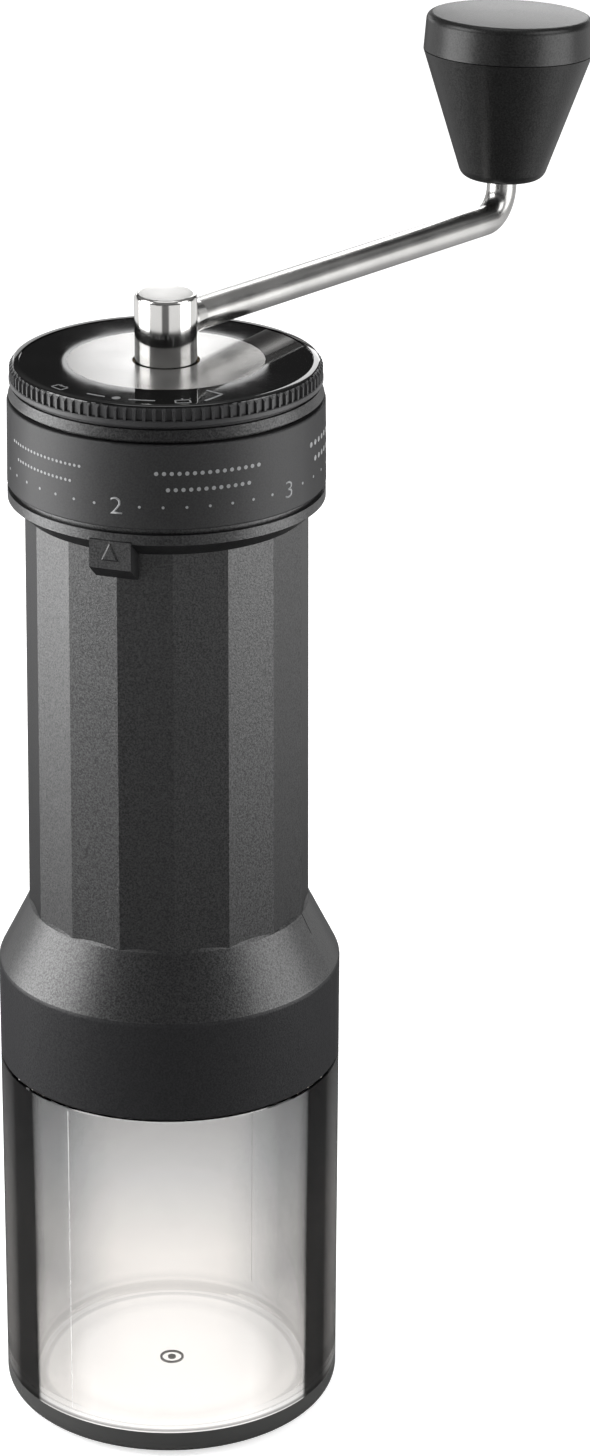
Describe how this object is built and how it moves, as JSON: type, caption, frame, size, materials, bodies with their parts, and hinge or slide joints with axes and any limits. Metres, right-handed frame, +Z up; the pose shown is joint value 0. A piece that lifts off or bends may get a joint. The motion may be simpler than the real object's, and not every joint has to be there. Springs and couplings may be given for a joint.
{
  "type": "hand crank coffee grinder",
  "caption": "Hand crank coffee grinder with a clear catch jar, faceted barrel, numbered grind dial, twist-off lid and a bent crank with a spinning knob.",
  "frame": {"origin": "centre of the jar's flat base", "axes": "+Z up along the grinder's axis, -Y towards the index tab"},
  "size_m": [0.0813, 0.1582, 0.2533],
  "materials": {
    "clear_smoke_plastic": "clear smoke grey, thick wall, polished",
    "silicone": "soft matte",
    "grained_dark_plastic": "moulded, fine grain",
    "dial_plastic": "moulded, satin",
    "lid_plastic": "moulded, satin ribs",
    "gloss_black_plastic": "polished",
    "satin_steel": "satin",
    "polished_steel": "mirror polished",
    "knob_plastic": "moulded, fine grain",
    "plain_steel": "turned",
    "bush_brass": "turned",
    "inner_plastic": "moulded",
    "burr_ceramic": "fired, unglazed",
    "pale_print": "printed ink"
  },
  "bodies": {
    "jar": {"jar": "clear_smoke_plastic"},
    "jar_seal": {"jar_seal": "silicone"},
    "housing": {"barrel_housing": "grained_dark_plastic", "index_ring": "grained_dark_plastic", "top_ring": "grained_dark_plastic", "burr_carrier": "inner_plastic", "lower_bush": "bush_brass", "outer_burr": "burr_ceramic", "carrier_screws": "plain_steel"},
    "dial": {"dial_ring": "dial_plastic"},
    "spider": {"bearing_spider": "inner_plastic", "upper_bush": "bush_brass"},
    "shaft": {"drive_shaft": "plain_steel", "inner_burr": "burr_ceramic", "burr_washer": "plain_steel", "burr_nut": "plain_steel", "shaft_clips": "plain_steel", "thrust_washers": "plain_steel"},
    "hub_bush": {"hub_bush": "bush_brass"},
    "lid": {"lid_ring": "lid_plastic", "lid_cover": "gloss_black_plastic", "lid_disc": "satin_steel"},
    "crank": {"crank_hub": "polished_steel", "crank_arm": "polished_steel", "hub_clip": "plain_steel", "knob_washer": "plain_steel", "knob_screw": "plain_steel"},
    "knob": {"knob_body": "knob_plastic", "knob_cap": "knob_plastic", "knob_bush": "bush_brass"}
  },
  "joints": [
    {"name": "housing_lift", "type": "slide", "parent": "jar", "child": "jar_seal", "axis": [0, 0, 1], "range_m": [0, 0.0036]},
    {"name": "housing_twist", "type": "hinge", "parent": "jar_seal", "child": "housing", "pos_m": [0, 0, 0.078], "axis": [0, 0, 1], "range_deg": [0, 60]},
    {"name": "dial_turn", "type": "hinge", "parent": "housing", "child": "dial", "pos_m": [0, 0, 0.195], "axis": [0, 0, 1], "range_deg": [-199, 66]},
    {"name": "shaft_lift", "type": "slide", "parent": "housing", "child": "spider", "axis": [0, 0, 1], "range_m": [-0.0009, 0.0003]},
    {"name": "shaft_turn", "type": "hinge", "parent": "spider", "child": "shaft", "pos_m": [0, 0, 0.15], "axis": [0, 0, 1], "continuous": true},
    {"name": "lid_lift", "type": "slide", "parent": "housing", "child": "hub_bush", "axis": [0, 0, 1], "range_m": [0, 0.003]},
    {"name": "lid_twist", "type": "hinge", "parent": "hub_bush", "child": "lid", "pos_m": [0, 0, 0.206], "axis": [0, 0, 1], "range_deg": [0, 60]},
    {"name": "crank_turn", "type": "hinge", "parent": "hub_bush", "child": "crank", "pos_m": [0, 0, 0.21], "axis": [0, 0, 1], "continuous": true},
    {"name": "knob_spin", "type": "hinge", "parent": "crank", "child": "knob", "pos_m": [0.03168, 0.10763, 0.2118], "axis": [0.0118, 0.0402, 0.9991], "continuous": true}
  ],
  "couplings": [
    {"joint": "housing_twist", "follows": "housing_lift", "rad_per_m": 290.89},
    {"joint": "dial_turn", "follows": "shaft_lift", "rad_per_m": 3850},
    {"joint": "lid_twist", "follows": "lid_lift", "rad_per_m": 349.06},
    {"joint": "shaft_turn", "follows": "crank_turn", "ratio": 1}
  ]
}
